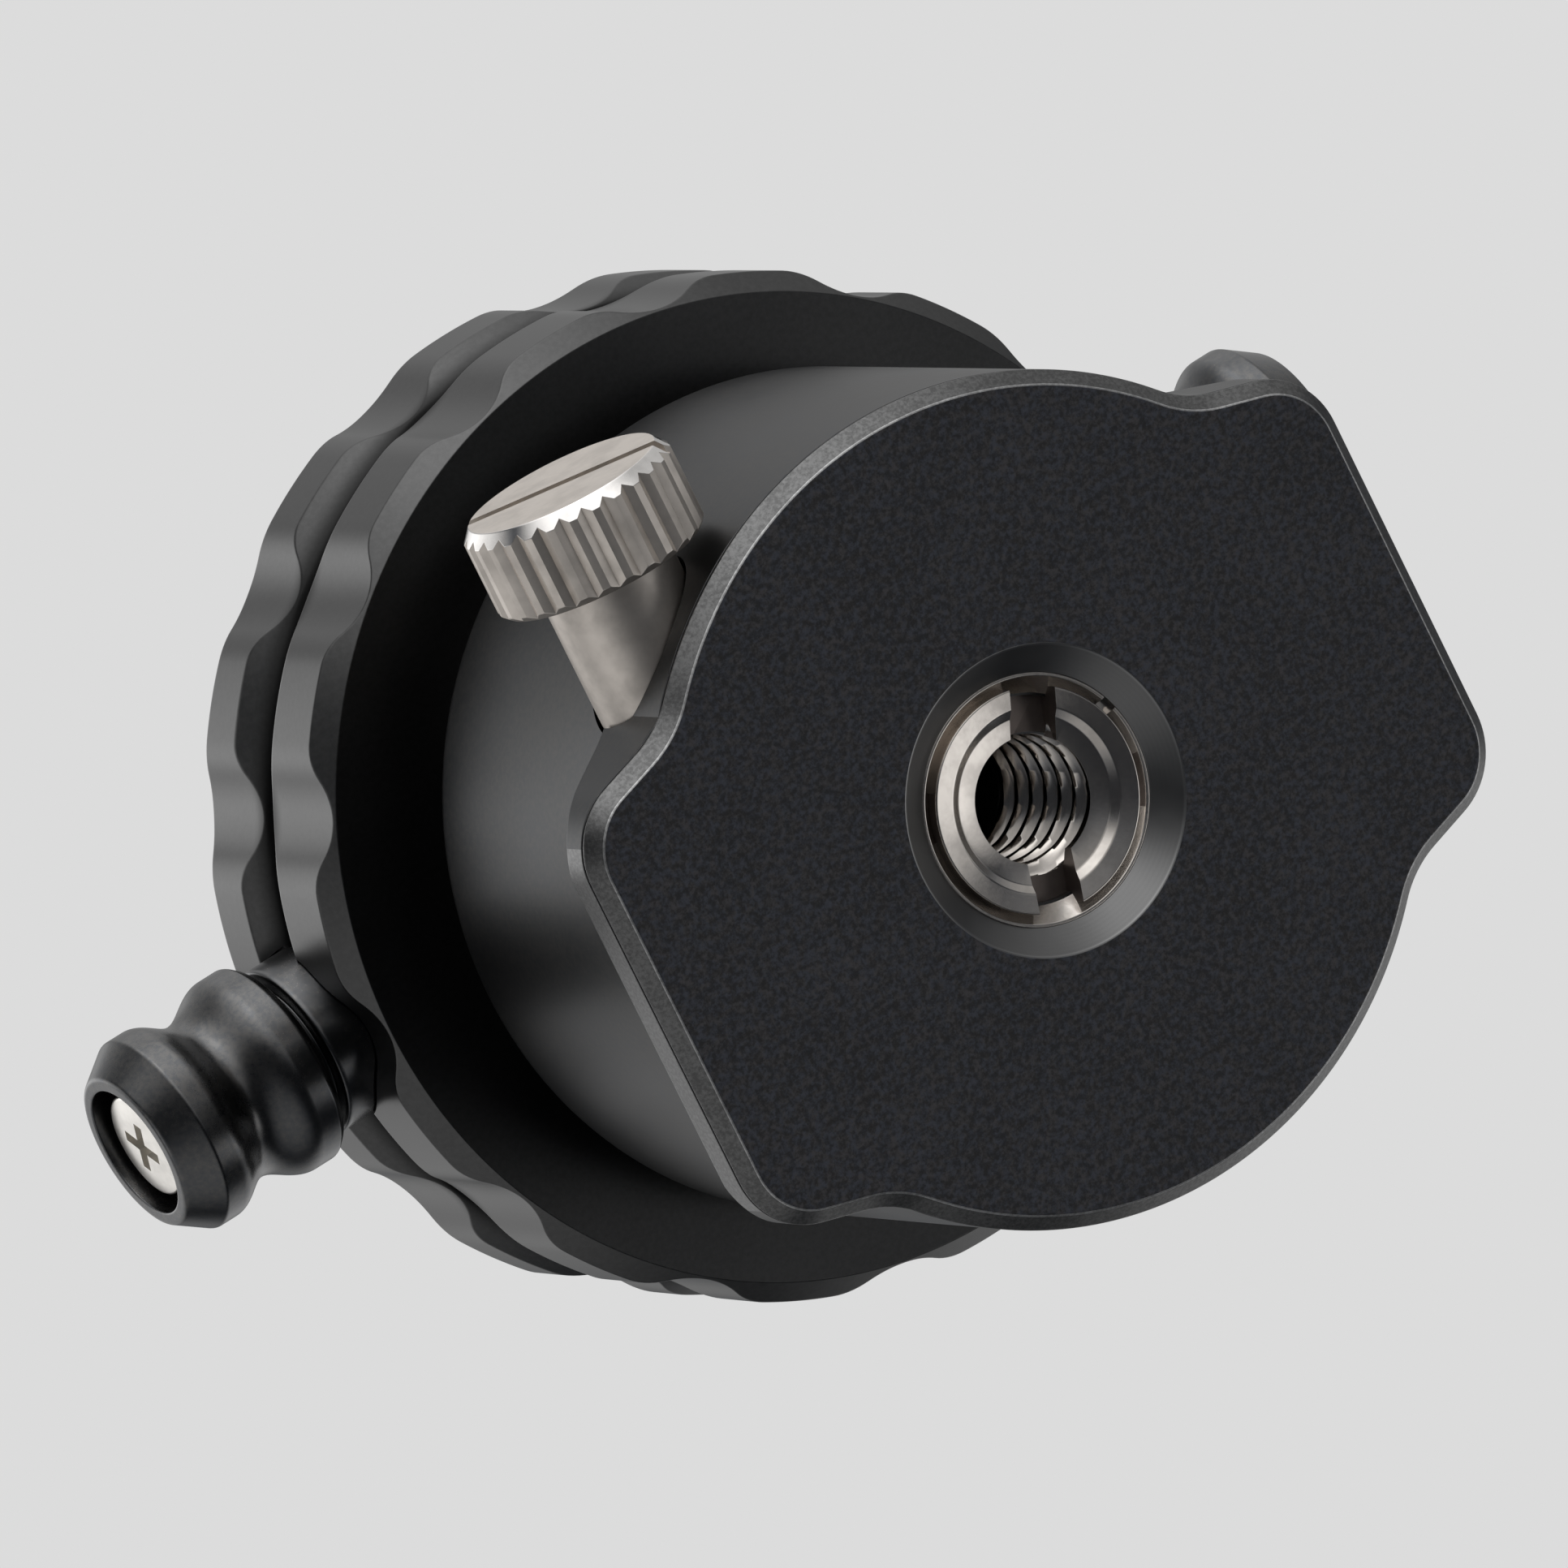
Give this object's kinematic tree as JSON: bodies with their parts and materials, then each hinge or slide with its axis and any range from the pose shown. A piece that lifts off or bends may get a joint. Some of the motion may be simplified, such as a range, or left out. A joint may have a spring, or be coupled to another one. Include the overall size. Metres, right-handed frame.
{
  "type": "tripod ball head",
  "caption": "Compact ball head: scalloped lock ring turned by short levers clamps the ball; knurled thumb screw locks the panning base; camera stud on a padded platform.",
  "frame": {"origin": "centre of the base plate's outer face, on the panning axis", "axes": "+Z along the panning axis from the base plate to the camera platform; +X across the base plate's two flats, along the lock ring's levers; +Y along those flats"},
  "size_m": [0.0608, 0.0424, 0.0518],
  "materials": {
    "black_anodised": "bead-blasted black anodised aluminium",
    "grey_anodised": "turned satin dark grey anodised aluminium",
    "black_satin": "turned satin black anodised aluminium",
    "plain_steel": "plain ground steel",
    "bright_steel": "bright zinc plated steel",
    "nickel": "satin nickel plated, polished chamfer",
    "brass": "machined brass",
    "bearing_plastic": "natural acetal",
    "felt": "black felt",
    "polished_ball": "smooth hard anodised aluminium",
    "rubber": "ribbed black rubber"
  },
  "bodies": {
    "base": {"base_plate": "black_anodised", "base_dowels": "plain_steel", "housing": "grey_anodised", "reducer_bushing": "bright_steel", "lower_thrust_washer": "bearing_plastic", "upper_thrust_washer": "bearing_plastic", "hub_nut": "plain_steel"},
    "shoe": {"brake_shoe": "brass"},
    "screw": {"thumb_screw": "nickel"},
    "plunger": {"brake_plunger": "brass", "brake_pad": "bearing_plastic"},
    "rotor": {"pan_rotor": "black_anodised", "dust_seal": "felt", "disc_spring": "plain_steel"},
    "clamp": {"upper_seat": "bearing_plastic"},
    "ring": {"lock_ring": "grey_anodised", "lever_left": "black_satin", "lever_right": "black_satin", "lever_screw_left": "bright_steel", "lever_screw_right": "bright_steel"},
    "cradle": {"lower_seat": "bearing_plastic"},
    "ball": {"ball": "polished_ball"},
    "head": {"ball_stem": "polished_ball", "platform": "black_anodised", "platform_pad": "rubber", "camera_stud": "bright_steel"}
  },
  "joints": [
    {"name": "screw_turn", "type": "hinge", "parent": "shoe", "child": "screw", "pos_m": [-0.01066, -0.0185, 0.0049], "axis": [0, -1, 0], "range_deg": [-60, 210]},
    {"name": "shoe_slide", "type": "slide", "parent": "base", "child": "shoe", "axis": [0, -1, 0], "range_m": [-0.0001666, 0.0005833]},
    {"name": "plunger_slide", "type": "slide", "parent": "base", "child": "plunger", "axis": [0, 0, -1], "range_m": [-0.0001667, 0.0005834]},
    {"name": "pan", "type": "hinge", "parent": "base", "child": "rotor", "pos_m": [0, 0, 0.0115], "axis": [0, 0, 1], "continuous": true},
    {"name": "ring_turn", "type": "hinge", "parent": "clamp", "child": "ring", "pos_m": [0, 0, 0.0293], "axis": [0, 0, 1], "range_deg": [-30, 30]},
    {"name": "clamp_slide", "type": "slide", "parent": "rotor", "child": "clamp", "axis": [0, 0, 1], "range_m": [-0.000125, 0.000125]},
    {"name": "ball_swivel", "type": "hinge", "parent": "rotor", "child": "cradle", "pos_m": [0, 0, 0.0293], "axis": [0, 0, 1], "continuous": true},
    {"name": "ball_tilt", "type": "hinge", "parent": "cradle", "child": "ball", "pos_m": [0, 0, 0.0293], "axis": [0, 1, 0], "range_deg": [-27, 27]},
    {"name": "ball_spin", "type": "hinge", "parent": "ball", "child": "head", "pos_m": [0, 0, 0.0382], "axis": [0, 0, 1], "continuous": true}
  ],
  "couplings": [
    {"joint": "screw_turn", "follows": "shoe_slide", "rad_per_m": 6283.2},
    {"joint": "plunger_slide", "follows": "shoe_slide", "ratio": 1},
    {"joint": "ring_turn", "follows": "clamp_slide", "rad_per_m": 4188.8}
  ]
}
